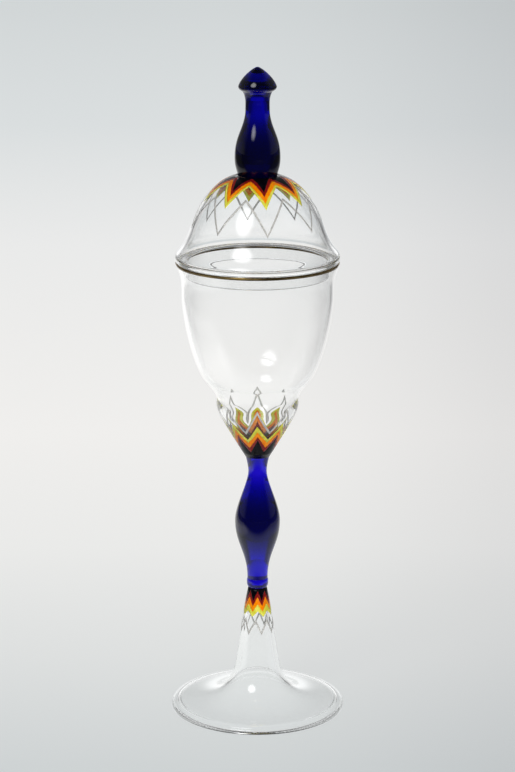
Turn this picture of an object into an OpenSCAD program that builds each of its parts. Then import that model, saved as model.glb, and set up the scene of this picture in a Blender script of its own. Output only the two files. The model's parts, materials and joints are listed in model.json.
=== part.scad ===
// Lidded pokal goblet: a clear glass foot, bowl and lid with a blue glass stem and finial,
// fired enamel zigzags in five colours and a gilded lip.
// Millimetres, +Z up. The origin is on the table, under the middle of the foot.

/* [Foot] */
// Diameter of the foot over its rounded rim
foot_d = 85.4; // [76:0.2:96]
// Height of the foot from the table to the knop
foot_h = 61.6; // [54:0.2:70]
// Height of the widest line of the rim
foot_rim_h = 0.6; // [0.5:0.1:1.2]
// Height of the shoulder above the rim
foot_shoulder_h = 4; // [3.4:0.1:5]
// How far the shoulder lies inside the rim
foot_shoulder_inset = 4.5; // [3.5:0.1:6]
// Diameter of the trumpet where the flare begins
foot_flare_d = 21.8; // [18:0.2:26]
// Height at which the flare begins
foot_flare_h = 21.6; // [18:0.2:26]
// Diameter of the throat under the knop
foot_throat_d = 8.9; // [8:0.1:10]
// Thickness of the wall of the foot
foot_wall = 1.8; // [1.4:0.1:2]
// Width of the ring that bears on the table
foot_bearing_w = 1.2; // [0.8:0.1:1.6]
// Rounding of the rim outside that ring
foot_rim_round = 0.8; // [0.6:0.1:1.2]
// Solid glass above the hollow of the foot
foot_plug = 5; // [4:0.5:8]

/* [Stem] */
// Diameter of the knop between the foot and the stem
knop_d = 10.6; // [10:0.1:13]
// Height of the knop
knop_h = 4.6; // [4.2:0.1:8]
// Height of the largest diameter of the knop
knop_wide_h = 2.6; // [2:0.1:3.4]
// Diameter of the stem where it stands on the knop
stem_base_d = 10; // [9:0.1:11]
// Largest diameter of the baluster
stem_d = 22.1; // [18:0.1:26]
// Height of the largest diameter above the knop
stem_wide_h = 29.6; // [26:0.2:33]
// Diameter of the upper neck
stem_neck_d = 9.1; // [8:0.1:10]
// Height of the upper neck above the knop
stem_neck_h = 54.9; // [50:0.2:58]
// Height of the stem above the knop
stem_h = 62.4; // [60:0.2:70]

/* [Bowl] */
// Diameter of the joint between the stem and the bowl
joint_d = 11.7; // [10:0.1:13]
// Height of the bowl above that joint
bowl_h = 96.6; // [92:0.2:110]
// Outside diameter of the upright wall
bowl_d = 73; // [66:0.5:84]
// Height at which the wall stands upright
bowl_wall_h = 80; // [72:0.5:84]
// Diameter of the bulb under the waist
bulb_d = 39.5; // [34:0.5:44]
// Height of the widest line of the bulb
bulb_h = 29.4; // [25:0.2:32]
// Height of the waist above the bulb
waist_h = 7.8; // [6:0.1:9]
// How far the bowl steps out over the waist
waist_step = 4.7; // [3.5:0.1:6]
// How far the lip turns out beyond the wall
lip_flare = 2.7; // [1.5:0.1:3.5]
// Rounding of the lip
lip_round = 0.7; // [0.5:0.05:0.9]
// Width of the flat on the lip that carries the lid
lip_land = 0.3; // [0.2:0.05:0.4]
// Thickness of the wall of the bowl
bowl_wall = 1.5; // [1.3:0.1:2]
// Solid glass under the hollow of the bowl
bowl_floor = 4.5; // [3:0.1:7]

/* [Lid] */
// Height of the lid from the lip to the crown
lid_h = 41.6; // [38:0.2:50]
// How far the bulge of the lid stands out beyond the lip
lid_overhang = 0.2; // [0:0.1:1]
// Height of the widest line of the bulge
bulge_h = 2; // [1.6:0.1:2.6]
// Diameter of the dome above the skirt
dome_d = 64.2; // [58:0.2:70]
// Height at which the dome begins
dome_h = 16.1; // [14:0.1:20]
// Rounding of the rim under the bulge
lid_rim_round = 0.8; // [0.6:0.05:0.9]
// Thickness of the wall of the lid
lid_wall = 1.6; // [1.3:0.1:2]
// Flat land of the crown outside the finial
crown_land = 0.4; // [0.3:0.1:1]
// Height of the groove between the skirt and the collar
groove_h = 0.6; // [0.4:0.1:0.8]
// Thickness of the web over the groove that carries the collar
web_wall = 1; // [0.8:0.1:1.2]
// Height at which the web runs out into the skirt
web_h = 2.9; // [2.6:0.1:4]
// Depth of the collar inside the bowl
collar_depth = 6.6; // [4:0.2:10]
// Thickness of the collar
collar_wall = 1.5; // [1.2:0.1:2]
// Clearance all round between the collar and the wall of the bowl
collar_clearance = 0.55; // [0.4:0.05:1]

/* [Finial] */
// Diameter of the finial where it stands on the lid
finial_base_d = 18.8; // [16:0.2:20]
// Largest diameter of the finial
finial_d = 21.8; // [20.2:0.2:26]
// Height of the largest diameter
finial_wide_h = 8.5; // [7:0.1:10]
// Diameter of the neck of the finial
finial_neck_d = 11.6; // [10:0.1:13]
// Height of the neck of the finial
finial_neck_h = 31.5; // [28:0.1:34]
// Diameter of the finial under its cap
finial_top_d = 13.2; // [12.4:0.1:16]
// Height of the finial under its cap
finial_h = 39.8; // [37:0.2:46]
// Diameter of the cap
cap_d = 18.3; // [16.4:0.1:22]
// Height of the cap
cap_h = 11.6; // [10:0.1:15]
// Height of the sharp edge of the cap
cap_edge_h = 2.4; // [2:0.1:3]

/* [Enamel and gilding] */
// Number of points in each zigzag
teeth = 8; // [6:1:12]
// Thickness of the fired enamel
enamel_t = 0.15; // [0.1:0.01:0.2]
// Width of the silver zigzag lines
silver_w = 0.8; // [0.5:0.1:1.2]
// Height of the gilding on the outside of the lip
gilt_h = 0.8; // [0.8:0.1:2]
// Height of the gilding on the inside of the lip
gilt_in_h = 1.4; // [0.8:0.1:2]
// Thickness of the gilding
gilt_t = 0.12; // [0.08:0.01:0.15]
// Bare glass between the painted layers and the next piece
paint_gap = 0.2; // [0.2:0.05:0.5]

/* [Zigzags on the lid: tip and root, measured out from the finial] */
// Angle of the points from the front
lid_points_turn = 9; // [0:1:45]
// Black zigzag
lid_black = [10.4, 1.6]; // [0.5:0.1:24]
// Red zigzag
lid_red = [12.2, 3.7]; // [0.5:0.1:24]
// Orange zigzag
lid_orange = [14.5, 6.4]; // [0.5:0.1:24]
// Yellow zigzag
lid_yellow = [16.4, 7.6]; // [0.5:0.1:24]
// Silver zigzag
lid_silver = [22.3, 14.1]; // [0.5:0.1:24]

/* [Zigzags on the bowl: tip and root, measured up from the stem joint] */
// Angle of the points from the front
bowl_points_turn = 0; // [0:1:45]
// Black zigzag
bowl_black = [11.2, 3.8]; // [2:0.1:30]
// Red zigzag
bowl_red = [13.2, 6.4]; // [2:0.1:30]
// Orange zigzag
bowl_orange = [16.1, 9.4]; // [2:0.1:30]
// Yellow zigzag
bowl_yellow = [19.4, 11.2]; // [2:0.1:30]
// Silver zigzag
bowl_silver = [27.6, 15.9]; // [2:0.1:30]

/* [Zigzags on the foot: tip and root, measured down from the knop] */
// Angle of the points from the front
foot_points_turn = 20; // [0:1:45]
// Black zigzag
foot_black = [6.4, 1.2]; // [1:0.1:24]
// Red zigzag
foot_red = [8.6, 4.2]; // [1:0.1:24]
// Orange zigzag
foot_orange = [11.3, 7.7]; // [1:0.1:24]
// Yellow zigzag
foot_yellow = [14, 11.1]; // [1:0.1:24]
// Silver zigzag
foot_silver = [22.9, 16.7]; // [1:0.1:24]

/* [Hidden] */
$fn = 96;
// Straight pieces in each sweep of a profile
sweep_steps = 10;
// Taper at the closed end of the hollow in the foot
hollow_taper = 4;
// Width of the rounding between the skirt and the top of the groove
groove_w = 1.8;
// Spare depth of the cutting shapes beyond the surface they cut
cut_spare = 2;
// Distance of the cutting shapes from the axis, inside every enamelled wall
cut_start = 2;

// Heights of the joints between the pieces, from the table up
knop_z = foot_h;
stem_z = knop_z + knop_h;
bowl_z = stem_z + stem_h;
lip_z = bowl_z + bowl_h;
crown_z = lip_z + lid_h;
cap_z = crown_z + finial_h;

// Radii that several pieces share
joint_r = joint_d / 2;
throat_r = foot_throat_d / 2;
bowl_r = bowl_d / 2;
lip_r = bowl_r + lip_flare;
bulge_r = lip_r + lid_overhang;
collar_r = bowl_r - bowl_wall - collar_clearance;
collar_in_r = collar_r - collar_wall;
finial_base_r = finial_base_d / 2;

clear_glass = [0.86, 0.9, 0.9, 0.4];
blue_glass = [0.06, 0.03, 0.42];
gold = [0.72, 0.5, 0.16];
black = [0.03, 0.03, 0.06];
red = [0.5, 0.06, 0.04];
orange = [1, 0.55, 0];
yellow = [0.84, 0.82, 0.3];
silver = [0.62, 0.62, 0.6];

// Profiles are lists of [radius, height]. Angles turn from straight out (0) over straight up (90).
function heading(angle) = [cos(angle), sin(angle)];

// One smooth sweep between two points, without its first point. The pulls are shares of the
// distance between the points and say how long the curve keeps the angle at each end.
function sweep(a, b, leave, arrive, pulls) =
    let (
        reach = norm(b - a),
        c = a + reach * pulls[0] * heading(leave),
        d = b - reach * pulls[1] * heading(arrive)
    )
    [for (i = [1 : sweep_steps])
        let (t = i / sweep_steps, s = 1 - t)
        s * s * s * a + 3 * s * s * t * c + 3 * s * t * t * d + t * t * t * b];

function last(list) = list[len(list) - 1];
function reversed(list) = [for (i = [len(list) - 1 : -1 : 0]) list[i]];
// Two profiles that share the point where they meet
function joined(a, b) = concat(a, [for (i = [1 : len(b) - 1]) b[i]]);

// Direction square to the profile at point i, on its right-hand side: outwards for a rising profile
function outward(profile, i) =
    let (
        a = profile[max(i - 1, 0)],
        b = profile[min(i + 1, len(profile) - 1)],
        d = (b - a) / norm(b - a)
    )
    [d[1], -d[0]];

// The profile moved square to itself, by a positive distance outwards or a negative one inwards
function moved(profile, distance) =
    [for (i = [0 : len(profile) - 1]) profile[i] + distance * outward(profile, i)];

// The inside of a wall, held between the two heights
function inside(profile, wall, low, high) =
    [for (p = moved(profile, -wall)) [max(p[0], 0), min(max(p[1], low), high)]];

function radius_at(profile, level) = lookup(level, [for (p = profile) [p[1], p[0]]]);
function point_at(profile, level) = [radius_at(profile, level), level];

// The stretch of a rising profile between two levels
function between(profile, low, high) = concat(
    [point_at(profile, low)],
    [for (p = profile) if (p[1] > low && p[1] < high) p],
    [point_at(profile, high)]);

// Foot, from the table up
foot_rim = concat(
    [[foot_d / 2 - foot_rim_round, 0]],
    sweep([foot_d / 2 - foot_rim_round, 0], [foot_d / 2, foot_rim_h], 20, 90, [0.3, 0.3]));
foot_shoulder = [foot_d / 2 - foot_shoulder_inset, foot_shoulder_h];
foot_flare = [foot_flare_d / 2, foot_flare_h];
foot_body = concat(
    [foot_shoulder],
    sweep(foot_shoulder, foot_flare, 162, 100, [0.16, 0.58]),
    sweep(foot_flare, [throat_r, foot_h], 100, 102, [0.44, 0.4]));
foot_edge = concat(foot_rim, sweep(last(foot_rim), foot_shoulder, 90, 162, [0.45, 0.4]));
foot_outer = joined(foot_edge, foot_body);
foot_bearing_in = [foot_d / 2 - foot_rim_round - foot_bearing_w, 0];
foot_hollow_top = foot_h - foot_plug;
foot_hollow = concat(
    [for (p = inside(foot_body, foot_wall, 0, foot_h)) if (p[1] < foot_hollow_top - hollow_taper) p],
    [[0, foot_hollow_top]]);
foot_underside = sweep(foot_bearing_in, foot_hollow[0], 172, 100, [0.4, 0.4]);
foot_inner = joined(concat([foot_bearing_in], foot_underside), foot_hollow);

// Knop and stem, each from its own base up
knop_wide = [knop_d / 2, knop_wide_h];
knop_outer = concat(
    [[throat_r, 0]],
    sweep([throat_r, 0], knop_wide, 40, 90, [0.35, 0.35]),
    sweep(knop_wide, [stem_base_d / 2, knop_h], 90, 115, [0.4, 0.4]));
stem_wide = [stem_d / 2, stem_wide_h];
stem_neck = [stem_neck_d / 2, stem_neck_h];
stem_outer = concat(
    [[stem_base_d / 2, 0]],
    sweep([stem_base_d / 2, 0], stem_wide, 90, 90, [0.44, 0.4]),
    sweep(stem_wide, stem_neck, 90, 90, [0.29, 0.24]),
    sweep(stem_neck, [joint_r, stem_h], 90, 75, [0.2, 0.45]));

// Bowl, from the stem joint up
bulb = [bulb_d / 2, bulb_h];
waist = bulb + [waist_step, waist_h];
bowl_upright = [bowl_r, bowl_wall_h];
lip_edge = [lip_r, bowl_h - lip_round];
bowl_cone = concat([[joint_r, 0]], sweep([joint_r, 0], bulb, 59, 90, [0.88, 0.19]));
bowl_wall_outer = concat(
    [bulb],
    sweep(bulb, waist, 90, 46, [0.18, 0.53]),
    sweep(waist, bowl_upright, 46, 90, [0.23, 0.23]),
    sweep(bowl_upright, lip_edge, 90, 72, [0.6, 0.5]));
lip_top = [lip_r - lip_round, bowl_h];
lip_land_in = lip_top - [lip_land, 0];
bowl_outer = concat(
    joined(bowl_cone, bowl_wall_outer),
    sweep(lip_edge, lip_top, 72, 180, [0.4, 0.4]));
bowl_wall_inner = inside(bowl_wall_outer, bowl_wall, 0, bowl_h - lip_round / 2);
bowl_well = sweep([0, bowl_floor], bowl_wall_inner[0], 0, 90, [0.15, 0.3]);
bowl_hollow = joined(concat([[0, bowl_floor]], bowl_well), bowl_wall_inner);

// The gilding goes over the lip from the outside to the inside, flush in a bed of its own thickness
gilt_line = bowl_h - gilt_h;
gilt_in_line = bowl_h - gilt_in_h;
gilt_face = concat(
    between(bowl_outer, gilt_line, bowl_h),
    [lip_land_in],
    reversed(between(bowl_wall_inner, gilt_in_line, bowl_h - lip_round / 2)));
gilt_bed = moved(gilt_face, -gilt_t);
bowl_outline = concat(
    [[0, 0]],
    [for (p = bowl_outer) if (p[1] < gilt_line) p],
    [gilt_face[0]],
    gilt_bed,
    [last(gilt_face)],
    [for (p = reversed(bowl_hollow)) if (p[1] < gilt_in_line) p]);

// Lid, from the lip up
bulge = [bulge_r, bulge_h];
dome_start = [dome_d / 2, dome_h];
lid_seat = [bulge_r - lid_rim_round, 0];
crown = [finial_base_r + crown_land, lid_h];
dome_outer = concat([dome_start], sweep(dome_start, crown, 108, 170, [0.19, 0.4]));
lid_outer = joined(
    concat([bulge], sweep(bulge, dome_start, 90, 108, [0.21, 0.72])),
    dome_outer);
lid_rim = concat([lid_seat], sweep(lid_seat, bulge, 20, 90, [0.35, 0.4]));
lid_top = concat(lid_outer, [[0, lid_h]]);
lid_inner = inside(lid_top, lid_wall, bulge_h, lid_h - lid_wall);

// A thin web inside the skirt, over a shallow groove, carries the collar
lid_bearing_in = [bulge_r - lid_wall, 0];
groove_top = [lid_bearing_in[0] - groove_w, groove_h];
web_foot = [collar_in_r, groove_h];
web_top = web_foot + [web_wall, web_wall];
web_end = point_at(lid_inner, web_h);
lid_inside = concat(
    [lid_bearing_in],
    sweep(lid_bearing_in, groove_top, 115, 180, [0.45, 0.4]),
    [web_foot],
    sweep(web_foot, web_top, 90, 4, [0.4, 0.4]),
    sweep(web_top, web_end, 4, 90, [0.5, 0.5]),
    [for (p = lid_inner) if (p[1] > web_h) p]);

// Finial and cap, each from its own base up
finial_wide = [finial_d / 2, finial_wide_h];
finial_neck = [finial_neck_d / 2, finial_neck_h];
finial_outer = concat(
    [[finial_base_r, 0]],
    sweep([finial_base_r, 0], finial_wide, 78, 90, [0.4, 0.5]),
    sweep(finial_wide, finial_neck, 90, 90, [0.47, 0.37]),
    sweep(finial_neck, [finial_top_d / 2, finial_h], 90, 66, [0.35, 0.39]));
cap_edge = [cap_d / 2, cap_edge_h];
cap_outer = concat(
    [[finial_top_d / 2, 0]],
    sweep([finial_top_d / 2, 0], cap_edge, 30, 90, [0.4, 0.4]),
    sweep(cap_edge, [0, cap_h], 100, 180, [0.3, 0.15]));

// A ring or a solid of revolution from a closed outline of [radius, height]
module turned(outline, z) {
    translate([0, 0, z])
        rotate_extrude()
            polygon(outline);
}

// A solid rod inside a profile that rises from its flat base to its flat top
module turned_solid(outer, z) {
    turned(concat([[0, outer[0][1]]], outer, [[0, last(outer)[1]]]), z);
}

// A wall between an outer and an inner profile that run the same way
module turned_wall(outer, inner, z) {
    turned(concat(outer, reversed(inner)), z);
}

// A thin layer on the outside of a profile
module layer(profile, thickness) {
    turned(concat(profile, reversed(moved(profile, thickness))), 0);
}

// Slope of the edges of a zigzag round a wall
function tooth_slope(wall, zigzag) =
    abs(zigzag[0] - zigzag[1]) / (radius_at(wall, zigzag[1]) * sin(180 / teeth));

// All the space between a zigzag round a wall and a level on the root side of it
module wall_points(wall, zigzag, level) {
    half = abs(zigzag[0] - level) / tooth_slope(wall, zigzag);
    reach = radius_at(wall, zigzag[0]) + cut_spare;
    for (i = [0 : teeth - 1])
        rotate([90, 0, i * 360 / teeth])
            translate([0, 0, cut_start])
                linear_extrude(height = reach)
                    polygon([[0, zigzag[0]], [-half, level], [half, level]]);
}

// One colour of enamel on a wall, from its own zigzag back to the one before it
module wall_band(wall, zigzag, before, level) {
    difference() {
        intersection() {
            layer(wall, enamel_t);
            wall_points(wall, zigzag, level);
        }
        if (before != undef)
            wall_points(wall, before, level);
    }
}

// Distance that moves a zigzag round a wall by the width of a painted line
function wall_line(wall, zigzag) = silver_w * norm([1, tooth_slope(wall, zigzag)]);

// Star in plan for the zigzags on the dome, with its tips and roots as radii
module star(zigzag) {
    linear_extrude(height = lid_h + cut_spare)
        polygon([for (i = [0 : 2 * teeth - 1])
            zigzag[i % 2] * heading(i * 180 / teeth - 90)]);
}

// One colour of enamel on the dome, from its own zigzag in to the one before it
module dome_band(zigzag, before) {
    difference() {
        intersection() {
            layer(dome_outer, enamel_t);
            star(zigzag);
        }
        if (before != undef)
            star(before);
    }
}

// Distance that moves a zigzag on the dome by the width of a painted line
function dome_line(zigzag) =
    let (
        across = zigzag[1] * sin(180 / teeth),
        along = zigzag[0] - zigzag[1] * cos(180 / teeth)
    )
    silver_w * norm([across, along]) / across;

// The enamelled stretches of the foot and the bowl
foot_enamel_wall = between(foot_body, foot_flare_h, foot_h - paint_gap);
bowl_enamel_wall = between(bowl_outer, 0, bulb_h + waist_h);

// Zigzags as heights on the foot and as radii on the dome
function on_foot(zigzag) = [foot_h, foot_h] - zigzag;
function on_dome(zigzag) = [finial_base_r, finial_base_r] + zigzag;

// Cut levels beyond the root side of every zigzag
foot_cut = foot_h + cut_spare;
bowl_cut = -cut_spare;

// Bands in place
module foot_band(zigzag, before) {
    rotate([0, 0, foot_points_turn])
        wall_band(foot_enamel_wall, zigzag, before, foot_cut);
}

module bowl_band(zigzag, before) {
    translate([0, 0, bowl_z])
        rotate([0, 0, bowl_points_turn])
            wall_band(bowl_enamel_wall, zigzag, before, bowl_cut);
}

module lid_band(zigzag, before) {
    translate([0, 0, lip_z])
        rotate([0, 0, lid_points_turn])
            dome_band(zigzag, before);
}

// Sub-parts
module foot() {
    color(clear_glass)
        turned_wall(concat(foot_outer, [[0, foot_h]]), foot_inner, 0);
}

module lower_knop() {
    color(blue_glass)
        turned_solid(knop_outer, knop_z);
}

module stem() {
    color(blue_glass)
        turned_solid(stem_outer, stem_z);
}

module bowl() {
    color(clear_glass)
        turned(bowl_outline, bowl_z);
}

module bowl_gilt_lip() {
    color(gold)
        turned_wall(gilt_face, gilt_bed, bowl_z);
}

module foot_enamel_black() {
    color(black)
        foot_band(on_foot(foot_black), undef);
}

module foot_enamel_red() {
    color(red)
        foot_band(on_foot(foot_red), on_foot(foot_black));
}

module foot_enamel_orange() {
    color(orange)
        foot_band(on_foot(foot_orange), on_foot(foot_red));
}

module foot_enamel_yellow() {
    color(yellow)
        foot_band(on_foot(foot_yellow), on_foot(foot_orange));
}

module foot_enamel_silver() {
    zigzag = on_foot(foot_silver);
    line = wall_line(foot_enamel_wall, zigzag);
    color(silver)
        foot_band(zigzag, zigzag + [line, line]);
}

module bowl_enamel_black() {
    color(black)
        bowl_band(bowl_black, undef);
}

module bowl_enamel_red() {
    color(red)
        bowl_band(bowl_red, bowl_black);
}

module bowl_enamel_orange() {
    color(orange)
        bowl_band(bowl_orange, bowl_red);
}

module bowl_enamel_yellow() {
    color(yellow)
        bowl_band(bowl_yellow, bowl_orange);
}

module bowl_enamel_silver() {
    line = wall_line(bowl_enamel_wall, bowl_silver);
    color(silver)
        bowl_band(bowl_silver, bowl_silver - [line, line]);
}

module lid_collar() {
    color(clear_glass)
        turned([
            [collar_in_r, groove_h], [collar_r, groove_h],
            [collar_r, -collar_depth + collar_wall / 2],
            [collar_r - collar_wall / 4, -collar_depth],
            [collar_in_r + collar_wall / 4, -collar_depth],
            [collar_in_r, -collar_depth + collar_wall / 2]
        ], lip_z);
}

module lid_dome() {
    color(clear_glass)
        turned_wall(joined(lid_rim, lid_top), lid_inside, lip_z);
}

module finial() {
    color(blue_glass)
        turned_solid(finial_outer, crown_z);
}

module finial_cap() {
    color(blue_glass)
        turned(concat([[0, 0]], cap_outer), cap_z);
}

module lid_enamel_black() {
    color(black)
        lid_band(on_dome(lid_black), undef);
}

module lid_enamel_red() {
    color(red)
        lid_band(on_dome(lid_red), on_dome(lid_black));
}

module lid_enamel_orange() {
    color(orange)
        lid_band(on_dome(lid_orange), on_dome(lid_red));
}

module lid_enamel_yellow() {
    color(yellow)
        lid_band(on_dome(lid_yellow), on_dome(lid_orange));
}

module lid_enamel_silver() {
    zigzag = on_dome(lid_silver);
    line = dome_line(zigzag);
    color(silver)
        lid_band(zigzag, zigzag - [line, line]);
}

foot();
lower_knop();
stem();
bowl();
bowl_gilt_lip();
foot_enamel_black();
foot_enamel_red();
foot_enamel_orange();
foot_enamel_yellow();
foot_enamel_silver();
bowl_enamel_black();
bowl_enamel_red();
bowl_enamel_orange();
bowl_enamel_yellow();
bowl_enamel_silver();
lid_collar();
lid_dome();
finial();
finial_cap();
lid_enamel_black();
lid_enamel_red();
lid_enamel_orange();
lid_enamel_yellow();
lid_enamel_silver();
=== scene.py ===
# %% [markdown]
# # A lidded goblet in glass, enamel and gold
# The goblet was built piece by piece at the lamp: a clear trumpet foot, a blue bead and a solid blue
# baluster, a clear bowl, and a lid with a blue finial. Five zigzag bands of enamel are fired on at three
# places, and the lip is gilded. The CAD model gives every piece its place and size. This script gives
# the pieces smooth surfaces and their finish, and it never moves the CAD frame.

# %% Load the CAD frame
import json
import math

import bmesh
import bpy
from mathutils import Matrix, Vector, noise
from mathutils.geometry import interpolate_bezier


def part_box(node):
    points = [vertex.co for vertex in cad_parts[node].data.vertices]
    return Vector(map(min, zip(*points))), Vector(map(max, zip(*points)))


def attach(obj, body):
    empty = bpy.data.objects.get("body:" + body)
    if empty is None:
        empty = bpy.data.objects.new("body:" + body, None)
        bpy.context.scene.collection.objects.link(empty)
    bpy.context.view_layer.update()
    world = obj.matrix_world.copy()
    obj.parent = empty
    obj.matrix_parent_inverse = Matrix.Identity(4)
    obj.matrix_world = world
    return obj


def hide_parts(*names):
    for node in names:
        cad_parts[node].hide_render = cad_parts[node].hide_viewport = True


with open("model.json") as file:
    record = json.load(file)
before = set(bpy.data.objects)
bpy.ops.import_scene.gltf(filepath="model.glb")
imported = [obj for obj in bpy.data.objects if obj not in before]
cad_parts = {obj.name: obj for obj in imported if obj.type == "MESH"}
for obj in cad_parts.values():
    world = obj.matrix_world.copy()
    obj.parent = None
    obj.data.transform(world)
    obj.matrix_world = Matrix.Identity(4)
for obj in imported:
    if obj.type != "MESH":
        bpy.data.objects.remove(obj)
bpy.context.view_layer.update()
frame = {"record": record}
MM = 0.001
body_of = {node: body for body, nodes in frame["record"]["behaviour"]["bodies"].items() for node in nodes}

# %% [markdown]
# ## Profiles
# Glass that is turned in a flame is round about one axis, so half an outline says everything about it.
# Each outline is a chain of Bezier sweeps: a sweep leaves its first point at one angle and arrives at
# the next point at another (0 is straight out from the axis and 90 straight up). A handful of named
# points is then enough, and the curve between them is as smooth as the mesh is fine.


# %% Sweeps and outlines
SWEEP_STEPS = 26


def point(radius, height):
    return Vector((radius * MM, 0, height * MM))


def heading(angle):
    return Vector((math.cos(math.radians(angle)), 0, math.sin(math.radians(angle))))


def outline(start, *legs):
    points = [start]
    for end, leave, arrive, pulls in legs:
        begin = points[-1]
        reach = (end - begin).length
        first_handle = begin + heading(leave) * reach * pulls[0]
        last_handle = end - heading(arrive) * reach * pulls[1]
        points += interpolate_bezier(begin, first_handle, last_handle, end, SWEEP_STEPS + 1)[1:]
    return points


def offset(points, distance):
    moved = []
    for i, here in enumerate(points):
        along = points[min(i + 1, len(points) - 1)] - points[max(i - 1, 0)]
        along.normalize()
        moved.append(here + Vector((along.z, 0, -along.x)) * distance)
    return moved


def segment(wall, coordinate, level):
    """The two neighbours of a wall on either side of a height (coordinate 2) or a radius (0)."""
    for a, b in zip(wall, wall[1:]):
        low, high = sorted((a[coordinate], b[coordinate]))
        if low <= level <= high:
            return a, b
    raise ValueError(f"the wall has no level {level}")


def on_wall(wall, coordinate, level):
    a, b = segment(wall, coordinate, level)
    return a.lerp(b, (level - a[coordinate]) / (b[coordinate] - a[coordinate]))


def facing(wall, coordinate, level):
    a, b = segment(wall, coordinate, level)
    return Vector((b.z - a.z, 0, a.x - b.x)).normalized()


def stretch(wall, coordinate, low, high):
    """The part of a wall between two levels, with exact ends, in the wall's own order."""
    inner = [here for here in wall if low < here[coordinate] < high]
    ends = [on_wall(wall, coordinate, level) for level in (low, high)]
    if wall[0][coordinate] > wall[-1][coordinate]:
        ends.reverse()
    return [ends[0]] + inner + [ends[1]]


def lifted(points, height):
    return [here + Vector((0, 0, height)) for here in points]


def base(node):
    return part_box(node)[0].z


def top(node):
    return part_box(node)[1].z


def widest(node):
    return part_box(node)[1].x / MM


def tall(node):
    return (top(node) - base(node)) / MM


print("a sweep has", SWEEP_STEPS, "steps; the foot is", round(widest("foot") * 2, 1), "mm across")

# %% [markdown]
# ## Turning an outline into a piece
# The lathe in Blender is the spin operator: it drags the outline once round the axis and welds the end
# to the start. Points that lie on the axis come out once per step, so doubles are merged before the
# normals are made to point outwards. Each finished piece rides on its CAD body and stands for its node.

# %% The lathe
SPIN_STEPS = 160
SHARP_ANGLE = math.radians(38)
WELD = 2e-7


def finish_piece(name, bm, node, material):
    mesh = bpy.data.meshes.new(name)
    bm.to_mesh(mesh)
    bm.free()
    mesh.polygons.foreach_set("use_smooth", [True] * len(mesh.polygons))
    mesh.set_sharp_from_angle(angle=SHARP_ANGLE)
    mesh.materials.append(material)
    piece = bpy.data.objects.new(name, mesh)
    bpy.context.scene.collection.objects.link(piece)
    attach(piece, body_of[node])
    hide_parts(node)
    print(name, "faces:", len(mesh.polygons))
    return piece


def turn(name, points, node, material, ring=False):
    bm = bmesh.new()
    verts = [bm.verts.new(here) for here in points]
    pairs = list(zip(verts, verts[1:])) + ([(verts[-1], verts[0])] if ring else [])
    edges = [bm.edges.new(pair) for pair in pairs]
    bmesh.ops.spin(bm, geom=verts + edges, cent=(0, 0, 0), axis=(0, 0, 1),
                   angle=math.tau, steps=SPIN_STEPS, use_merge=True)
    bmesh.ops.remove_doubles(bm, verts=bm.verts, dist=WELD)
    bmesh.ops.recalc_face_normals(bm, faces=bm.faces)
    return finish_piece(name, bm, node, material)


print("a full turn has", SPIN_STEPS, "steps")

# %% [markdown]
# ## Shader sums
# A material is a small calculation at each point of the surface. This class wraps one node output, so
# that plain Python sums write the Math nodes, and one method makes every other node: its settings
# first, then its sockets.


# %% The wire class
class Wire:
    """One value in a material."""

    def __init__(self, tree, socket=None):
        self.tree = tree
        self.socket = socket

    def node(self, kind, settings=None, sockets=None, out=0):
        made = self.tree.nodes.new(kind)
        for name, value in (settings or {}).items():
            if name == "stops":
                for i, (position, colour) in enumerate(value):
                    stops = made.color_ramp.elements
                    stop = stops[i] if i < 2 else stops.new(position)
                    stop.position = position
                    stop.color = colour
            else:
                setattr(made, name, value)
        for name, value in (sockets or {}).items():
            if isinstance(value, Wire):
                self.tree.links.new(value.socket, made.inputs[name])
            else:
                made.inputs[name].default_value = value
        return Wire(self.tree, made.outputs[out] if made.outputs else None)

    def math(self, operation, *values):
        return self.node("ShaderNodeMath", {"operation": operation}, dict(enumerate(values)))

    def __add__(self, other):
        return self.math("ADD", self, other)

    __radd__ = __add__

    def __sub__(self, other):
        return self.math("SUBTRACT", self, other)

    def __rsub__(self, other):
        return self.math("SUBTRACT", other, self)

    def __mul__(self, other):
        return self.math("MULTIPLY", self, other)

    __rmul__ = __mul__

    def __pow__(self, other):
        return self.math("POWER", self, other)

    def __rpow__(self, other):
        return self.math("POWER", other, self)

    def ramp(self, low, high):
        """0 below low, 1 above high, and an easy rise between them."""
        return self.node("ShaderNodeMapRange", {"interpolation_type": "SMOOTHSTEP"},
                         {"Value": self, "From Min": low, "From Max": high})

    def split(self):
        """The three coordinates of a vector."""
        parts = self.node("ShaderNodeSeparateXYZ", sockets={0: self}).socket.node
        return [Wire(self.tree, coordinate) for coordinate in parts.outputs]

    def mix(self, first, second, blend="MIX"):
        """The first colour where this wire is 0 and the second, or its blend, where it is 1."""
        return self.node("ShaderNodeMix", {"data_type": "RGBA", "blend_type": blend},
                         {0: self, 6: first, 7: second}, out=2)


def new_material(name):
    material = bpy.data.materials.new(name)
    material.use_nodes = True
    material.node_tree.nodes.clear()
    return material, Wire(material.node_tree)


def ray(start, kind):
    """What is known of the ray that looks at a surface, such as whether a lamp's shadow is asked for."""
    return start.node("ShaderNodeLightPath", out=kind)


def patches(start, scale, detail=2.0, stretch=(1, 1, 1)):
    """Soft noise between 0 and 1 on Object coordinates, with its scale per metre."""
    place = start.node("ShaderNodeTexCoord", out="Object")
    placed = start.node("ShaderNodeMapping", sockets={"Vector": place, "Scale": stretch})
    return start.node("ShaderNodeTexNoise", sockets={"Vector": placed, "Scale": scale, "Detail": detail})


def relief(start, height, distance):
    return start.node("ShaderNodeBump", sockets={"Height": height, "Strength": 1.0, "Distance": distance})


print("materials are written as sums")

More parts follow.
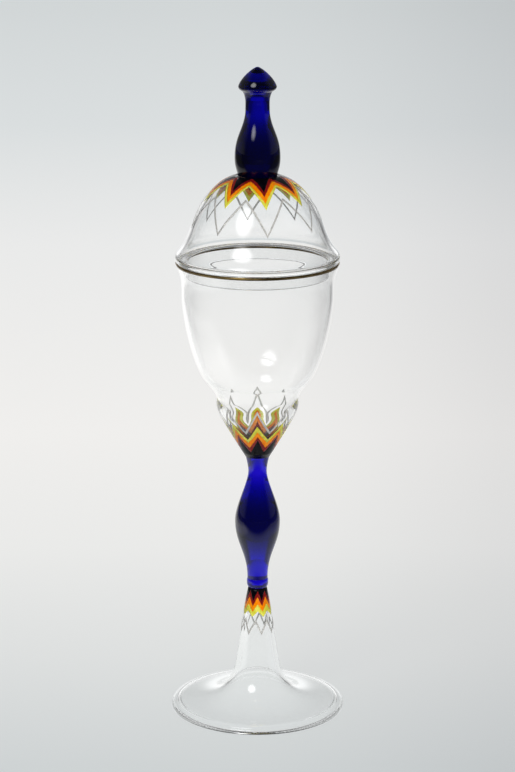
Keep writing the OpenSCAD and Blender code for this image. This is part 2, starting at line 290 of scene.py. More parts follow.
# %% [markdown]
# ## Clear glass
# Lampworked borosilicate is clear and fire-polished. It still shows that it was turned in the flame:
# its surface swells and dips by hundredths of a millimetre, in rings more than in streaks. A true
# dielectric with two walls bends the background as the real bowl does. Lamps see it as a faint tint
# and not as a black body, so that the paint behind it is lit and its shadow stays pale.

# %% Clear glass
CLEAR_IOR = 1.47
CLEAR_SHADOW = (0.93, 0.94, 0.94, 1)


def let_light_through(start, glass, tint):
    """Rays from lamps and from matt surfaces pass the glass with a tint and without bending."""
    film = start.node("ShaderNodeBsdfTransparent", sockets={"Color": tint})
    for kind in ("Is Shadow Ray", "Is Diffuse Ray"):
        glass = start.node("ShaderNodeMixShader", sockets={0: ray(start, kind), 1: glass, 2: film})
    start.node("ShaderNodeOutputMaterial", sockets={"Surface": glass})


def make_clear_glass():
    material, start = new_material("clear_glass")
    rings = patches(start, 26, stretch=(1, 1, 3.5))
    streaks = patches(start, 420, detail=3.0, stretch=(1, 1, 0.15))
    tint = rings.mix((0.993, 0.997, 0.996, 1), (0.998, 1.0, 0.999, 1))
    glass = start.node("ShaderNodeBsdfPrincipled", sockets={
        "Base Color": tint, "Roughness": streaks.ramp(0.6, 0.8) * 0.015, "IOR": CLEAR_IOR,
        "Transmission Weight": 1.0, "Normal": relief(start, rings, 0.015 * MM)})
    let_light_through(start, glass, CLEAR_SHADOW)
    return material


# %% [markdown]
# The blue glass is solid, so it is darker the thicker it is: bright in the necks, nearly black in the
# bellies. The way through is about the local diameter, so the colour is worked out from the distance
# to the axis. Red and green lose a fixed share in each millimetre. Blue holds out in thin glass and
# then goes faster, because a thick belly also bends in light that came a longer way. The finial's glass
# is a little deeper in tone. Where it is fused to the lid over the black enamel it is also painted
# darker: painted shade at the joint.


# %% Blue glass that darkens with thickness
BLUE_IOR = 1.5
BLUE_SHADOW = (0.12, 0.1, 0.5, 1)
RED_LOSS = 0.48
GREEN_LOSS = 0.61
BLUE_LOSS = 0.0065
THINNEST = 8.8
FINIAL_MORE = 2.6
# Painted shade at the finial's joint over the black enamel, as millimetres of extra glass.
JOINT_PAINTED_SHADE = 5.0


def make_blue_glass():
    material, start = new_material("blue_glass")
    place = start.node("ShaderNodeTexCoord", out="Object")
    across = start.node("ShaderNodeVectorMath", {"operation": "MULTIPLY"}, {0: place, 1: (1, 1, 0)})
    radius = start.node("ShaderNodeVectorMath", {"operation": "LENGTH"}, {0: across}, out="Value")
    height = place.split()[2]
    crown = base("finial")
    upper = height.ramp(crown - 5 * MM, crown - 1 * MM)
    # Painted shade: the glass is darkened just above the lid's crown, where the finial sits over the black
    # enamel.
    joint_shade = height.ramp(crown + 5 * MM, crown + 1 * MM) * upper
    thickness = start.math("MAXIMUM", radius * (2 / MM), THINNEST) + upper * FINIAL_MORE + joint_shade * JOINT_PAINTED_SHADE
    colour = start.node("ShaderNodeCombineColor", sockets={
        "Red": math.e ** (thickness * -RED_LOSS),
        "Green": math.e ** (thickness * -GREEN_LOSS),
        "Blue": math.e ** (thickness * thickness * -BLUE_LOSS)})
    rings = patches(start, 30, stretch=(1, 1, 4))
    glass = start.node("ShaderNodeBsdfPrincipled", sockets={
        "Base Color": colour, "Roughness": rings.ramp(0.5, 0.8) * 0.02, "IOR": BLUE_IOR,
        "Transmission Weight": 1.0, "Normal": relief(start, rings, 0.02 * MM)})
    let_light_through(start, glass, BLUE_SHADOW)
    return material


clear_glass = make_clear_glass()
blue_glass = make_blue_glass()
print("made", clear_glass.name, "and", blue_glass.name)

# %% [markdown]
# ## The foot
# A trumpet foot is blown, opened and flared, so its wall is even, and its rim melts into a solid roll
# with a crease on the inside. The outline runs down from the knop, over the flare to the rim, under it
# and up inside the hollow. The bead and the stem are solid, so their outlines start and end on the axis.
# Where two pieces of glass meet, a hair of air is left between them, so that no two faces coincide.

# %% Foot, bead and stem
AIR = 0.02
FOOT_WALL = 1.8
FOOT_PLUG = 5.0
HOLLOW_TAPER = 4.0
RIM_ROUND = 0.8
RIM_HEIGHT = 0.6
BEARING_WIDTH = 1.2
THROAT = 4.45
FLARE = 21.6
KNOP_JOINT = 5.0
BOWL_JOINT = 5.85


def foot_outline():
    rim = widest("foot")
    shoulder = point(rim - 4.5, 4)
    flare = point(10.9, FLARE)
    throat = point(THROAT, tall("foot"))
    edge = outline(point(rim - RIM_ROUND, 0),
                   (point(rim, RIM_HEIGHT), 20, 90, (0.3, 0.3)),
                   (shoulder, 90, 162, (0.45, 0.4)))
    body = outline(shoulder,
                   (flare, 162, 100, (0.16, 0.58)),
                   (throat, 100, 102, (0.44, 0.4)))
    hollow_top = tall("foot") - FOOT_PLUG
    wall = offset(body, -FOOT_WALL * MM)
    hollow = [here for here in wall if here.z < (hollow_top - HOLLOW_TAPER) * MM]
    roof = outline(hollow[-1], (point(0, hollow_top), 100, 180, (0.6, 0.5)))
    roll = outline(point(rim - RIM_ROUND - BEARING_WIDTH, 0), (hollow[0], 172, 100, (0.4, 0.4)))
    outside = edge + body[1:]
    inside = roll + hollow[1:] + roof[1:]
    return body, [point(0, tall("foot"))] + outside[::-1] + inside


def solid_rod(points):
    first = points[0] + Vector((0, 0, AIR * MM))
    last = points[-1] - Vector((0, 0, AIR * MM))
    trimmed = [first] + [here for here in points if first.z < here.z < last.z] + [last]
    return [Vector((0, 0, first.z))] + trimmed + [Vector((0, 0, last.z))]


foot_wall, foot_points = foot_outline()
turn("foot_glass", foot_points, "foot", clear_glass)
knop_points = outline(point(THROAT, 0),
                      (point(widest("lower_knop"), 2.6), 40, 90, (0.35, 0.35)),
                      (point(KNOP_JOINT, tall("lower_knop")), 90, 115, (0.4, 0.4)))
turn("knop_glass", lifted(solid_rod(knop_points), base("lower_knop")), "lower_knop", blue_glass)
stem_points = outline(point(KNOP_JOINT, 0),
                      (point(widest("stem"), 29.6), 90, 90, (0.44, 0.4)),
                      (point(4.55, 54.9), 90, 90, (0.29, 0.24)),
                      (point(BOWL_JOINT, tall("stem")), 90, 75, (0.2, 0.45)))
turn("stem_glass", lifted(solid_rod(stem_points), base("stem")), "stem", blue_glass)

# %% [markdown]
# ## The bowl
# The bowl is one blown wall: a cone that swells into a bulb, a waist, and a tall cup whose lip turns
# out. The well inside is smooth and leaves thick glass over the stem, which bends the painted points
# of the far side into loops above the waist. The same outline, moved in by the wall, is the inside.

# %% Bowl
BOWL_WALL = 1.5
BOWL_FLOOR = 4.5
LIP_ROUND = 0.7
LIP_LAND = 0.3
WAIST = 37.2


def bowl_outline():
    high = tall("bowl")
    lip = widest("bowl")
    bulb = point(19.75, 29.4)
    waist = point(24.45, WAIST)
    lip_edge = point(lip, high - LIP_ROUND)
    cone = outline(point(BOWL_JOINT, 0), (bulb, 59, 90, (0.88, 0.19)))
    wall = outline(bulb,
                   (waist, 90, 46, (0.18, 0.53)),
                   (point(36.5, 80), 46, 90, (0.23, 0.23)),
                   (lip_edge, 90, 72, (0.6, 0.5)))
    roll = outline(lip_edge, (point(lip - LIP_ROUND, high), 72, 180, (0.4, 0.4)))
    inner = offset(wall, -BOWL_WALL * MM)
    inner = [here for here in inner if here.z < (high - LIP_ROUND / 2) * MM]
    inner_lip = outline(point(lip - LIP_ROUND - LIP_LAND, high), (inner[-1], 180, 252, (0.4, 0.4)))
    well = outline(point(0, BOWL_FLOOR), (inner[0], 0, 90, (0.15, 0.3)))
    return cone + wall[1:] + roll[1:], inner_lip + inner[-2::-1] + well[-2::-1]


bowl_wall, bowl_hollow = bowl_outline()
bowl_points = [point(0, 0)] + bowl_wall + bowl_hollow
turn("bowl_glass", lifted(bowl_points, base("bowl")), "bowl", clear_glass)

# %% [markdown]
# ## The lid
# The lid is a bell with a rolled rim. A thin web inside its skirt, over a shallow groove, carries the
# collar, a ring that drops into the bowl and keeps the lid in the middle. The flat crown carries the
# finial, which is worked from a solid rod and ends in a cap with a sharp edge and a blunt point.

# %% Lid, collar and finial
LID_WALL = 1.6
COLLAR_WALL = 1.5
WEB_WALL = 1.0
WEB_END = 2.9
GROOVE_WIDTH = 1.8
CROWN = 9.8
FINIAL_JOINT = 9.4
CAP_JOINT = 7.1


def lid_outline():
    high = tall("lid_dome")
    bulge = point(widest("lid_dome"), 2)
    dome_start = point(32.1, 16.1)
    dome = outline(dome_start, (point(CROWN, high), 108, 170, (0.19, 0.4)))
    skirt = outline(bulge, (dome_start, 90, 108, (0.21, 0.72)))
    rim = outline(point(widest("lid_dome") - 0.8, AIR), (bulge, 20, 90, (0.35, 0.4)))
    inner = offset(skirt + dome[1:], -LID_WALL * MM)
    inner = [here for here in inner if here.z < (high - LID_WALL) * MM]
    skirt_in = widest("lid_dome") - LID_WALL
    collar_out = widest("lid_collar")
    collar_in = collar_out - COLLAR_WALL
    groove_high = (top("lid_collar") - base("lid_dome")) / MM
    groove = outline(point(skirt_in, AIR),
                     (point(skirt_in - GROOVE_WIDTH, groove_high), 115, 180, (0.45, 0.4)),
                     (point(collar_out, groove_high), 180, 180, (0.3, 0.3)))
    ends = on_wall(inner, 2, WEB_END * MM)
    web = outline(point(collar_in, groove_high),
                  (point(collar_in + WEB_WALL, groove_high + WEB_WALL), 90, 4, (0.4, 0.4)),
                  (ends, 4, 90, (0.5, 0.5)))
    dome_inside = [here for here in inner if here.z > ends.z] + [point(0, high - LID_WALL)]
    outside = rim + skirt[1:] + dome[1:]
    return outside, [point(0, high)] + outside[::-1] + groove + web + dome_inside


lid_wall, lid_points = lid_outline()
turn("lid_glass", lifted(lid_points, base("lid_dome")), "lid_dome", clear_glass)


def collar_outline():
    outer = widest("lid_collar")
    inner = outer - COLLAR_WALL
    middle = outer - COLLAR_WALL / 2
    high = tall("lid_collar") - AIR
    edge = outline(point(outer, COLLAR_WALL / 2),
                   (point(middle, 0), 270, 180, (0.4, 0.4)),
                   (point(inner, COLLAR_WALL / 2), 180, 90, (0.4, 0.4)))
    return [point(inner, high), point(outer, high)] + edge


turn("collar_glass", lifted(collar_outline(), base("lid_collar")), "lid_collar", clear_glass, ring=True)
finial_points = outline(point(FINIAL_JOINT, 0),
                        (point(widest("finial"), 8.5), 78, 90, (0.4, 0.5)),
                        (point(5.8, 31.5), 90, 90, (0.47, 0.37)),
                        (point(CAP_JOINT, tall("finial")), 90, 60, (0.35, 0.39)))
turn("finial_glass", lifted(solid_rod(finial_points), base("finial")), "finial", blue_glass)
cap_points = outline(point(CAP_JOINT, AIR),
                     (point(widest("finial_cap"), 2.4), 30, 90, (0.4, 0.4)),
                     (point(0, tall("finial_cap")), 100, 180, (0.3, 0.15)))
turn("cap_glass", lifted([point(0, AIR)] + cap_points, base("finial_cap")), "finial_cap", blue_glass)

# %% [markdown]
# ## Enamel
# Glass enamel is ground coloured glass, painted on and fired until it melts to a gloss. It is thinner
# at the edges of a stroke and pools in the middle, so the colour is a little uneven and the surface
# is not quite flat. The silver-grey lines hold metal and stay satin. The gold is a thin skin of real
# metal, burnished and a little worn, so its colour and its gloss change in patches.

# %% Enamel and gold finishes
def make_enamel(name, thin, thick, roughness, gloss=0.25, metallic=0.0):
    material, start = new_material(name)
    pools = patches(start, 520, detail=3.0)
    grain = patches(start, 3600, detail=2.0)
    colour = pools.ramp(0.3, 0.62).mix(thin, thick)
    paint = start.node("ShaderNodeBsdfPrincipled", sockets={
        "Base Color": colour, "Roughness": grain * 0.12 + roughness, "Metallic": metallic,
        "Specular IOR Level": gloss,
        "Normal": relief(start, pools + grain * 0.15, 0.04 * MM)})
    start.node("ShaderNodeOutputMaterial", sockets={"Surface": paint})
    return material


BLACK = (0.004, 0.004, 0.006, 1), (0.0015, 0.0015, 0.003, 1)
RED = (0.26, 0.01, 0.007, 1), (0.2, 0.006, 0.005, 1)
ORANGE = (1.0, 0.33, 0.0, 1), (0.95, 0.22, 0.0, 1)
YELLOW = (0.82, 0.8, 0.12, 1), (0.68, 0.64, 0.05, 1)
SILVER = (0.66, 0.65, 0.61, 1), (0.54, 0.53, 0.5, 1)
enamels = {
    "black": make_enamel("enamel_black", *BLACK, 0.1, gloss=0.12),
    "red": make_enamel("enamel_red", *RED, 0.12),
    "orange": make_enamel("enamel_orange", *ORANGE, 0.14),
    "yellow": make_enamel("enamel_yellow", *YELLOW, 0.16),
    "silver": make_enamel("enamel_silver", *SILVER, 0.3, metallic=0.1),
}


def make_gilding():
    material, start = new_material("gilding")
    wear = patches(start, 190, detail=4.0)
    brush = patches(start, 1500, detail=2.0, stretch=(1, 1, 3))
    colour = wear.ramp(0.35, 0.7).mix((0.34, 0.235, 0.085, 1), (0.2, 0.13, 0.05, 1))
    gold = start.node("ShaderNodeBsdfPrincipled", sockets={
        "Base Color": colour, "Metallic": 1.0, "Roughness": wear * 0.25 + 0.22,
        "Normal": relief(start, brush, 0.02 * MM)})
    start.node("ShaderNodeOutputMaterial", sockets={"Surface": gold})
    return material


gilding = make_gilding()
print("made", [material.name for material in enamels.values()], "and", gilding.name)

# %% [markdown]
# ## Painting the zigzags
# A zigzag band repeats every tooth and each tooth is the same on both sides, so half a tooth is enough:
# a narrow strip of the wall is spun, two slanting planes cut away what lies beyond the band and what
# the band before it already covers, and mirror and spin copies complete the ring. A brush is never as
# straight as a plane, so all points are then nudged along the surface by smooth noise. Its seed is fixed,
# so that each run paints the same bands, and bands that share an edge are nudged alike. A Solidify
# modifier gives the paint its thickness, most of it on top and a little of it sunk in, because fired
# enamel has no air under it.

# %% Zigzag bands
TEETH = 8
HALF_TOOTH = math.pi / TEETH
HALF_STEPS = 14
PAINT = 0.15
PAINT_SUNK = 1 / 3
SLOW_WOBBLE = (0.35, 90)
QUICK_WOBBLE = (0.09, 700)
WOBBLE_SEED = 5
TURN_Z = Matrix.Rotation(HALF_TOOTH, 3, "Z")
noise.seed_set(WOBBLE_SEED)


def cut(bm, wall, zigzag, through, coordinate, keep_near):
    tip = on_wall(wall, coordinate, zigzag[0])
    root = TURN_Z @ on_wall(wall, coordinate, zigzag[1])
    if not through:
        through = facing(wall, coordinate, zigzag[0]) + TURN_Z @ facing(wall, coordinate, zigzag[1])
    normal = (root - tip).cross(through).normalized()
    if (wall[0] - tip).dot(normal) > 0:
        normal.negate()
    bmesh.ops.bisect_plane(bm, geom=bm.verts[:] + bm.edges[:] + bm.faces[:], dist=WELD, plane_co=tip,
                           plane_no=normal, clear_outer=keep_near, clear_inner=not keep_near)


def redraw(bm, wall, coordinate, shift):
    """Slide points along the wall to the level that the painter's hand gave them on the far side."""
    lowest, highest = sorted((wall[0][coordinate], wall[-1][coordinate]))
    for vert in bm.verts:
        radius = math.hypot(vert.co.x, vert.co.y)
        far = max(0, vert.co.y / radius) ** 2
        level = shift(vert.co.z if coordinate == 2 else radius, far)
        target = on_wall(wall, coordinate, min(max(level, lowest), highest))
        vert.co.x *= target.x / radius
        vert.co.y *= target.x / radius
        vert.co.z = target.z


def wobble(bm):
    for vert in bm.verts:
        push = Vector((0, 0, 0))
        for amount, scale in (SLOW_WOBBLE, QUICK_WOBBLE):
            push += noise.noise_vector(vert.co * scale) * amount * MM
        vert.co += push - vert.normal * push.dot(vert.normal)


def paint_band(name, wall, zigzag, before, node, material, turn_by, through, coordinate, shift):
    bm = bmesh.new()
    verts = [bm.verts.new(here) for here in wall]
    edges = [bm.edges.new(pair) for pair in zip(verts, verts[1:])]
    bmesh.ops.spin(bm, geom=verts + edges, cent=(0, 0, 0), axis=(0, 0, 1),
                   angle=HALF_TOOTH, steps=HALF_STEPS)
    cut(bm, wall, zigzag, through, coordinate, keep_near=True)
    if before:
        cut(bm, wall, before, through, coordinate, keep_near=False)
    bmesh.ops.mirror(bm, geom=bm.verts[:] + bm.edges[:] + bm.faces[:], matrix=Matrix(),
                     merge_dist=WELD, axis="Y")
    bmesh.ops.spin(bm, geom=bm.verts[:] + bm.edges[:] + bm.faces[:], cent=(0, 0, 0), axis=(0, 0, 1),
                   angle=math.tau * (TEETH - 1) / TEETH, steps=TEETH - 1, use_duplicate=True)
    bmesh.ops.remove_doubles(bm, verts=bm.verts, dist=10 * WELD)
    bmesh.ops.recalc_face_normals(bm, faces=bm.faces)
    first = next(iter(bm.faces))
    if first.normal.dot(first.calc_center_median() - Vector((0, 0, wall[0].z))) < 0:
        bmesh.ops.reverse_faces(bm, faces=bm.faces)
    bmesh.ops.rotate(bm, verts=bm.verts, cent=(0, 0, 0), matrix=Matrix.Rotation(turn_by, 3, "Z"))
    if shift:
        redraw(bm, wall, coordinate, shift)
    bm.normal_update()
    wobble(bm)
    piece = finish_piece(name, bm, node, material)
    skin = piece.modifiers.new("paint", "SOLIDIFY")
    skin.thickness = PAINT * MM
    skin.offset = PAINT_SUNK
    return piece


print("teeth in a band:", TEETH, "paint in mm:", PAINT)

# %% [markdown]
# On the bowl and the foot a zigzag is measured by height above or below the joint; on the dome it is
# measured outwards from the finial. Each pair is the level of the tips and of the roots.

# %% The three painted places
SILVER_LINE = 0.75
JOINT_GAP = 0.2


def silver_inside(wall, zigzag, coordinate, away):
    """The other edge of a painted line, moved back towards the joint by its width along the wall."""
    tip = on_wall(wall, coordinate, zigzag[0])
    root = TURN_Z @ on_wall(wall, coordinate, zigzag[1])
    width = SILVER_LINE * MM * (root - tip).length / root.y
    shares = [abs(facing(wall, coordinate, level)[2 - coordinate]) for level in zigzag]
    return [level - away * width * share for level, share in zip(zigzag, shares)]


def paint_place(place, wall, coordinate, through, turns, start, away, bands, shifts=(None, None)):
    """All five colours at one place. away is +1 or -1, the way that levels grow from the joint.
    turns and shifts hold one value for the colours and one for the silver line."""
    before = None
    for colour, pair in bands.items():
        zigzag = [start + away * level * MM for level in pair]
        if colour == "silver":
            before = silver_inside(wall, zigzag, coordinate, away)
        line = int(colour == "silver")
        paint_band(f"{place}_{colour}_points", wall, zigzag, before, f"{place}_enamel_{colour}",
                   enamels[colour], math.radians(turns[line] - 90), through, coordinate, shifts[line])
        before = zigzag


SILVER_MIDDLE = base("bowl") + 21.75 * MM
TALLER = 0.32
WIDER = 3.2
LOWER = 1.2
EASE = 4.0


def taller_behind(level, far):
    """The bowl's silver points are drawn taller at the back, about their middle."""
    return SILVER_MIDDLE + (level - SILVER_MIDDLE) * (1 + TALLER * far)


def wider_behind(level, far):
    """The lid's bands lie further from the finial at the back."""
    away = min(max((level - CROWN * MM) / (EASE * MM), 0), 1)
    return level + WIDER * MM * far * away


def silver_behind(level, far):
    """The lid's silver line is only a little lower at the back."""
    return level + LOWER * MM * far


bowl_strip = lifted(stretch(bowl_wall, 2, 0, WAIST * MM), base("bowl"))
paint_place("bowl", bowl_strip, 2, Vector((1, 0, 0)), (0, 0), base("bowl"), 1, {
    "black": (11.2, 3.8), "red": (13.2, 6.4), "orange": (16.1, 9.4),
    "yellow": (19.4, 11.2), "silver": (27.6, 15.9)}, (None, taller_behind))
foot_strip = stretch(foot_wall[::-1], 2, FLARE * MM, top("foot") - JOINT_GAP * MM)
paint_place("foot", foot_strip, 2, Vector((1, 0, 0)), (23, 14), top("foot"), -1, {
    "black": (6.4, 1.2), "red": (8.6, 4.2), "orange": (11.3, 7.7),
    "yellow": (14.0, 11.1), "silver": (22.9, 16.7)})
dome_strip = lifted(stretch(lid_wall[::-1], 0, CROWN * MM, 36 * MM), base("lid_dome"))
paint_place("lid", dome_strip, 0, None, (9, 9), FINIAL_JOINT * MM, 1, {
    "black": (10.4, 1.0), "red": (12.2, 3.7), "orange": (14.5, 6.4),
    "yellow": (16.4, 7.6), "silver": (22.3, 14.1)}, (wider_behind, silver_behind))

# %% [markdown]
# ## The gilded lip
# Liquid bright gold is brushed over the lip and fired. It is a skin that goes from the outside over the
# roll to the inside, so the lip's own outline, moved out on one side and slightly in on the other,
# makes its section.

# %% Gilding
GILT_HEIGHT = 0.45
GILT_INSIDE = 1.2
GILT = 0.12


def gilt_outline():
    high = bowl_wall[-1].z
    outside = stretch(bowl_wall, 2, high - GILT_HEIGHT * MM, high)
    inside = stretch(bowl_hollow, 2, high - GILT_INSIDE * MM, bowl_hollow[0].z)
    face = outside + inside
    return offset(face, GILT * MM) + offset(face, -GILT / 4 * MM)[::-1]


turn("gilt_lip", lifted(gilt_outline(), base("bowl")), "bowl_gilt_lip", gilding, ring=True)

# %% [markdown]
# ## The table
# Glass has hardly a colour of its own: it shows what is round it. The goblet stands on a pale sheet, and
# the camera sees that sheet with painted light on it: a painted fall of light by distance, and painted
# shade to the right and in front under the lamps. A photographer puts dark boards beside a glass, so that
# its edges get an outline. Here the sheet itself turns dark in front and far to the sides, as painted
# shade, and bright just to the left, as painted light, but only for rays that come off the glass or were
# bent far by it. Rays off or through the glass also see it glow a little brighter, as painted light.
# Most rays that pass nearly straight through see the pale sheet, so that the bowl stays clear from
# other sides too.

# %% Kinds of ray
TWO_WALLS = 4
SIDE_SLANT = (0.5, 0.7)


def straight(start):
    """1 for rays that only passed through glass and 0 for those that were also reflected."""
    return ray(start, "Is Transmission Ray") * start.math("LESS_THAN", ray(start, "Glossy Depth"), 0.5)


def clear_view(start, across, away, one_wall=0.0):
    """1 for straight rays that go far to the side, as in a side view, after two walls of glass,
    or after one wall where one_wall is 1."""
    two_walls = start.math("GREATER_THAN", ray(start, "Transmission Depth"), TWO_WALLS - 0.5)
    slant = start.math("DIVIDE", start.math("ABSOLUTE", across), away)
    return straight(start) * start.math("MAXIMUM", two_walls, one_wall) * slant.ramp(*SIDE_SLANT)


print("two walls of glass have", TWO_WALLS, "surfaces")

# %% Table
FLOOR_RADIUS = 8.0
SHEET_GLOW = 1.335
# Painted light: how much brighter the sheet glows in what the glass shows.
PAINTED_GLOW_IN_GLASS = 1.16
GLOW_SHARE = 0.65
SHEET_MIDDLE = -0.1
SHEET_RUN = 0.3
VIEW_DISTANCE = 1.1
# Painted fall of light on the sheet by distance: position and colour.
SHEET_PAINTED_FALLOFF = [
    (0.0, (0.58, 0.61, 0.615, 1)), (1.0, (0.702, 0.736, 0.742, 1)), (0.05, (0.71, 0.725, 0.72, 1)),
    (0.105, (0.822, 0.825, 0.812, 1)), (0.18, (0.889, 0.881, 0.864, 1)), (0.38, (0.87, 0.875, 0.87, 1)),
    (0.6, (0.758, 0.79, 0.796, 1))]
# Painted light and shade at the sides: start, full and colour, by slope seen from the camera.
SIDE_PAINTED_LIGHT_AND_SHADE = [
    (0.12, 0.26, (0.3, 0.302, 0.305, 1)), (-0.11, -0.16, (0.95, 0.95, 0.945, 1)),
    (-0.2, -0.32, (0.5, 0.502, 0.505, 1)), (0.32, 0.48, (0.06, 0.061, 0.062, 1)),
    (-0.38, -0.55, (0.08, 0.081, 0.082, 1))]
FRONT_SHADE = (0.04, 0.04, 0.042, 1)
# Painted shade in front of the goblet, under the lamps.
PAINTED_SHADE_UNDER_LAMPS = (0.68, 0.68, 0.68, 1)
LAMPS_SPAN = (-0.3, -1.0)
FRONT_SPAN = (-0.08, -0.2)
# Where the painted shade on the right side of the sheet begins and is full.
RIGHT_SHADE_SPAN = (-0.02, 0.16)
MOUTH_NEAR = (0.6, 0.68)
MOUTH_FAR = (1.5, 1.35)


def make_sheet():
    material, start = new_material("pale_sheet")
    across, depth, _ = start.node("ShaderNodeTexCoord", out="Object").split()
    away = start.math("ABSOLUTE", depth - SHEET_MIDDLE)
    # Painted light: the sheet is painted darker near a line through the goblet and far off, brightest about
    # 0.6 m away.
    shade = start.node("ShaderNodeValToRGB", {"stops": SHEET_PAINTED_FALLOFF}, {0: away * SHEET_RUN})
    aside = start.math("DIVIDE", across, away + VIEW_DISTANCE)
    # Painted shade: the sheet is painted darker to the right, about 14 percent near the goblet and 20
    # percent far off.
    right_painted_shade = away.ramp(0.1, 1.0).mix((0.86, 0.86, 0.87, 1), (0.8, 0.8, 0.81, 1))
    plain = aside.ramp(*RIGHT_SHADE_SPAN).mix(shade, right_painted_shade, "MULTIPLY")
    # Painted shade: the sheet is painted darker in front, under the lamps, so that their light there doesn't
    # show.
    plain = depth.ramp(*LAMPS_SPAN).mix(plain, PAINTED_SHADE_UNDER_LAMPS, "MULTIPLY")
    shade = plain
    # Painted shade and painted light for rays off the glass: dark far to both sides, bright just left of the
    # view.
    for begin, full, colour in SIDE_PAINTED_LIGHT_AND_SHADE:
        shade = aside.ramp(begin, full).mix(shade, colour)
    distance = (across * across + away * away) ** 0.5
    past_mouth = distance.ramp(*MOUTH_NEAR) * distance.ramp(*MOUTH_FAR)
    shade = clear_view(start, across, away + 0.02, past_mouth).mix(shade, plain)
    shade = (depth.ramp(*FRONT_SPAN) * (1 - straight(start))).mix(shade, FRONT_SHADE)
    camera_ray = ray(start, "Is Camera Ray")
    shade = camera_ray.mix(shade, plain)
    shown = camera_ray
    for kind in ("Is Glossy Ray", "Is Transmission Ray"):
        shown = start.math("MAXIMUM", shown, ray(start, kind))
    # Painted light: rays off or through the glass see the sheet glow brighter than the camera sees it.
    glow = start.node("ShaderNodeEmission", sockets={
        "Color": shade, "Strength": SHEET_GLOW * PAINTED_GLOW_IN_GLASS - camera_ray * (SHEET_GLOW * (PAINTED_GLOW_IN_GLASS - 1))})
    matt = start.node("ShaderNodeBsdfDiffuse", sockets={"Color": shade})
    sheet = start.node("ShaderNodeMixShader", sockets={0: shown * GLOW_SHARE, 1: matt, 2: glow})
    start.node("ShaderNodeOutputMaterial", sockets={"Surface": sheet})
    return material


bm = bmesh.new()
bmesh.ops.create_circle(bm, cap_ends=True, segments=96, radius=FLOOR_RADIUS)
floor_mesh = bpy.data.meshes.new("table_sheet")
bm.to_mesh(floor_mesh)
bm.free()
floor_mesh.materials.append(make_sheet())
table_sheet = bpy.data.objects.new("table_sheet", floor_mesh)
bpy.context.scene.collection.objects.link(table_sheet)
print("table sheet:", FLOOR_RADIUS * 2, "m across")

# %% [markdown]
# ## The room
# The room is dim, which keeps the blue glass deep. Low behind the goblet it has a bright band, which
# whitens the far rim of the foot. Matt surfaces get a wider band from there, so that the paint on the
# back is lit too. The camera sees a plain pale backdrop above the table.

# %% Room
DIM = (0.04, 0.041, 0.045, 1)
UPPER = (0.2, 0.202, 0.205, 1)
RIGHT_SIDE = (0.2, 0.202, 0.205, 1)
LEFT_SIDE = (0.25, 0.252, 0.255, 1)
BACK_BAND = (1.2, 1.205, 1.21, 1)
BACK_LIGHT = (1.7, 1.7, 1.7, 1)
BACKDROP = (0.62, 0.65, 0.655, 1)
LOW_BAND = (0.1, 0.35)
HIGH_BAND = (0.6, 0.95)


def make_room():
    world = bpy.data.worlds.new("studio")
    world.use_nodes = True
    world.node_tree.nodes.clear()
    sky = Wire(world.node_tree)
    across, depth, height = sky.node("ShaderNodeTexCoord", out="Generated").split()
    depth = depth + straight(sky) * (sky.math("ABSOLUTE", depth) - depth)
    low = 1 - height.ramp(*LOW_BAND)
    high = 1 - height.ramp(*HIGH_BAND)
    side_light = across.ramp(0.5, -0.5).mix(RIGHT_SIDE, LEFT_SIDE)
    room = (depth.ramp(-0.5, 0.1) * high).mix(DIM, UPPER)
    room = (depth.ramp(-0.5, 0.0) * low).mix(room, side_light)
    room = (depth.ramp(0.88, 0.96) * low).mix(room, BACK_BAND)
    room = (ray(sky, "Is Diffuse Ray") * depth.ramp(0.1, 0.6) * low).mix(room, BACK_LIGHT)
    room = (clear_view(sky, across, depth) * low).mix(room, BACKDROP)
    room = ray(sky, "Is Camera Ray").mix(room, BACKDROP)
    light = sky.node("ShaderNodeBackground", sockets={"Color": room, "Strength": 1.0})
    sky.node("ShaderNodeOutputWorld", sockets={"Surface": light})
    return world


bpy.context.scene.world = make_room()
print("room:", bpy.context.scene.world.name)

# %% [markdown]
# ## The lamps
# A tall soft box to the left of the camera draws the white streaks, and it fades towards its edge as a
# cloth front does. A second one lights the paint from the camera's side. It isn't mirrored in the glass,
# so that no second streak shows.

# %% Lamps
AIM = Vector((0, 0, 0.2))


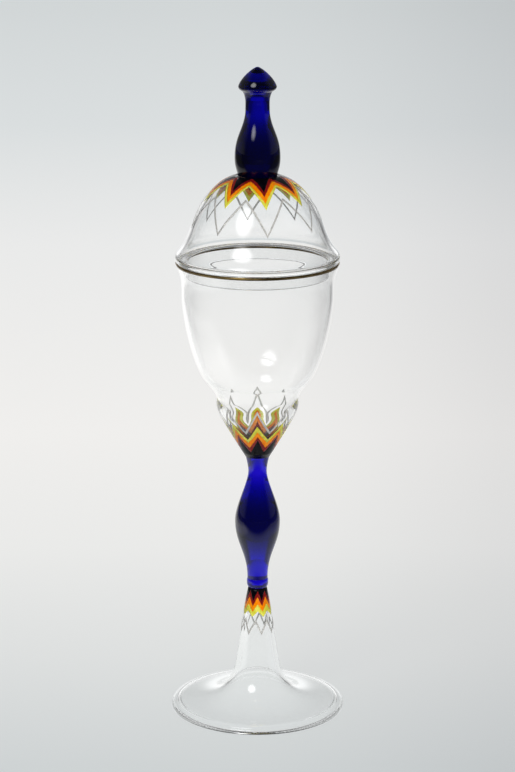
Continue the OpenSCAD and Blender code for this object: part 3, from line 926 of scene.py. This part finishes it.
def soft_box(name, azimuth, elevation, distance, width, height, radiance, seen=True):
    """An area lamp aimed at the goblet, brightest in its middle. Azimuth goes to the camera's right."""
    a = math.radians(azimuth)
    e = math.radians(elevation)
    towards = Vector((math.sin(a) * math.cos(e), -math.cos(a) * math.cos(e), math.sin(e)))
    lamp = bpy.data.lights.new(name, "AREA")
    lamp.shape = "ELLIPSE"
    lamp.size = width
    lamp.size_y = height
    lamp.energy = radiance * math.pi * math.pi / 4 * width * height
    lamp.use_nodes = True
    lamp.node_tree.nodes.clear()
    start = Wire(lamp.node_tree)
    place = start.node("ShaderNodeNewGeometry", out="Parametric")
    from_middle = start.node("ShaderNodeVectorMath", {"operation": "DISTANCE"},
                             {0: place, 1: (0.5, 0.5, 0)}, out="Value")
    glow = start.node("ShaderNodeEmission", sockets={"Strength": from_middle.ramp(0.5, 0.2)})
    start.node("ShaderNodeOutputLight", sockets={"Surface": glow})
    box = bpy.data.objects.new(name, lamp)
    box.location = AIM + towards * distance
    box.rotation_euler = towards.to_track_quat("Z", "Y").to_euler()
    box.visible_camera = False
    box.visible_glossy = seen
    box.visible_transmission = seen
    bpy.context.scene.collection.objects.link(box)
    print(name, "at", [round(x, 2) for x in box.location], "watts", round(lamp.energy, 1))


soft_box("key_box", -29, 44, 1.5, 0.95, 1.0, 5.5)
soft_box("fill_box", 12, 8, 2.0, 1.8, 1.2, 12.5, seen=False)

# %% [markdown]
# ## The camera
# The photograph was taken with a long lens, a little above the lid and tilted down. Its place was
# worked out from the ellipses of the foot and the lip. In thick glass a ray can be reflected many times
# before it comes out, and with few bounces such a ray ends black and draws a dark edge, so the limits
# on bounces are raised.

# %% Camera
TILT_DOWN = 14.5
GLASS_BOUNCES = 96
camera_data = bpy.data.cameras.new("camera")
camera_data.sensor_width = 36
camera_data.lens = 118.68
camera = bpy.data.objects.new("camera", camera_data)
camera.location = (0, -1.19228, 0.47196)
camera.rotation_euler = (math.radians(90 - TILT_DOWN), 0, 0)
scene = bpy.context.scene
scene.collection.objects.link(camera)
scene.camera = camera
scene.view_settings.view_transform = "Standard"
scene.cycles.max_bounces = GLASS_BOUNCES
scene.cycles.glossy_bounces = GLASS_BOUNCES
scene.cycles.transmission_bounces = GLASS_BOUNCES
scene.cycles.transparent_max_bounces = 32
scene.cycles.caustics_reflective = False
scene.cycles.caustics_refractive = False
print("camera at", [round(x, 3) for x in camera.location], "lens in mm", round(camera_data.lens, 1))
